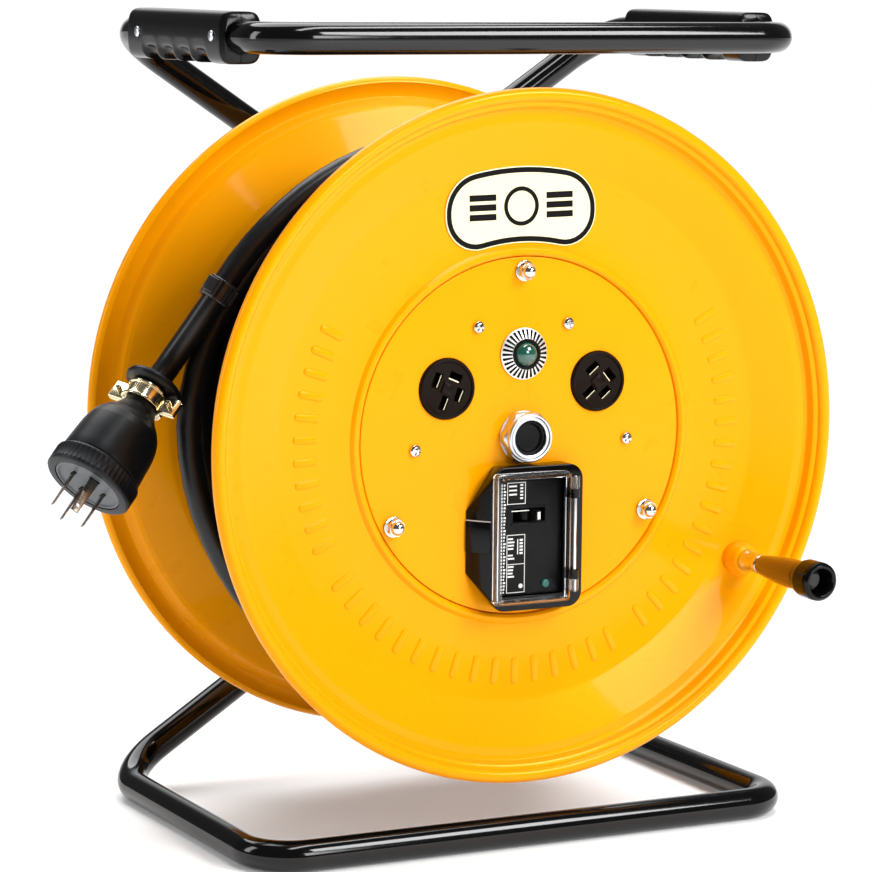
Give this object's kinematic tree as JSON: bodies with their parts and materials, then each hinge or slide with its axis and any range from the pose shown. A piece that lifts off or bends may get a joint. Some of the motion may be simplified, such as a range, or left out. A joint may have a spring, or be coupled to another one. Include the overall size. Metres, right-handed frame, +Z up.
{
  "type": "extension cord reel",
  "caption": "Steel drum cord reel with a socket panel, breaker and crank, turning on an axle in a bent tube carrying frame.",
  "frame": {"origin": "on the floor, below the middle of the stand and drum, halfway between the crank cap and the back of the frame", "axes": "+X to the right seen from the front, +Y to the back along the axle, +Z up"},
  "size_m": [0.4774, 0.3209, 0.5012],
  "materials": {
    "yellow_paint": "glossy baked enamel",
    "black_tube_paint": "glossy black paint",
    "black_plastic": "satin moulded",
    "gloss_black_plastic": "glossy moulded",
    "dark_brown_plastic": "satin phenolic",
    "black_rubber": "matt",
    "zinc_plated_steel": "satin zinc",
    "chrome": "polished",
    "pale_brass": "polished",
    "white_nylon": "satin",
    "clear_plastic": "clear polished",
    "green_plastic": "polished",
    "cream_enamel": "satin",
    "brown_handle": "glossy",
    "grey_plastic": "matt"
  },
  "bodies": {
    "stand": {"handle_tube": "black_tube_paint", "base_tube": "black_tube_paint", "hub_plate": "black_tube_paint", "axle": "zinc_plated_steel", "axle_nut": "zinc_plated_steel", "axle_plug": "black_plastic", "grip_left_outer": "black_plastic", "grip_left_inner": "black_plastic", "grip_left_screw_1": "zinc_plated_steel", "grip_left_screw_2": "zinc_plated_steel", "grip_right_outer": "black_plastic", "grip_right_inner": "black_plastic", "grip_right_screw_1": "zinc_plated_steel", "grip_right_screw_2": "zinc_plated_steel"},
    "drum": {"front_flange": "yellow_paint", "rear_flange": "yellow_paint", "drum_core": "yellow_paint", "socket_panel": "yellow_paint", "breaker_housing": "black_plastic", "breaker_body": "black_plastic", "plug_collar": "black_plastic", "cord_strap": "black_plastic", "socket_left": "dark_brown_plastic", "socket_right": "dark_brown_plastic", "cord_coil": "black_rubber", "cord_tail": "black_rubber", "plug_body": "black_rubber", "tie_rod_1": "zinc_plated_steel", "tie_rod_2": "zinc_plated_steel", "tie_rod_3": "zinc_plated_steel", "cover_pin": "zinc_plated_steel", "crank_spindle": "zinc_plated_steel", "dome_nut_1": "chrome", "dome_nut_2": "chrome", "dome_nut_3": "chrome", "panel_screw_1": "chrome", "panel_screw_2": "chrome", "panel_screw_3": "chrome", "panel_screw_4": "chrome", "lamp_bezel": "chrome", "crank_ferrule": "chrome", "plug_blade_1": "pale_brass", "plug_blade_2": "pale_brass", "plug_blade_3": "pale_brass", "plug_blade_4": "pale_brass", "cord_clamp_1": "pale_brass", "cord_clamp_2": "pale_brass", "clamp_screw_1": "pale_brass", "clamp_screw_2": "pale_brass", "front_bush": "white_nylon", "rear_bush": "white_nylon", "lamp_lens": "green_plastic", "name_plate": "cream_enamel", "plug_face": "grey_plastic"},
    "crank": {"crank_grip": "brown_handle", "crank_cap": "gloss_black_plastic"},
    "cover": {"breaker_cover": "clear_plastic"},
    "lever": {"breaker_lever": "black_plastic"},
    "button": {"test_button": "green_plastic"}
  },
  "joints": [
    {"name": "drum_spin", "type": "hinge", "parent": "stand", "child": "drum", "pos_m": [0, -0.08155, 0.24758], "axis": [0, 1, 0], "continuous": true},
    {"name": "crank_spin", "type": "hinge", "parent": "drum", "child": "crank", "pos_m": [0.15306, -0.08155, 0.16274], "axis": [0, 1, 0], "continuous": true},
    {"name": "cover_hinge", "type": "hinge", "parent": "drum", "child": "cover", "pos_m": [0.0275, -0.08005, 0.18758], "axis": [0, 0, 1], "range_deg": [0, 100]},
    {"name": "lever_toggle", "type": "hinge", "parent": "drum", "child": "lever", "pos_m": [-0.001, -0.06755, 0.20108], "axis": [0, 0, 1], "range_deg": [-40, 0]},
    {"name": "button_press", "type": "slide", "parent": "drum", "child": "button", "axis": [0, 1, 0], "range_m": [0, 0.0015], "stiffness_N_per_m": 300}
  ]
}
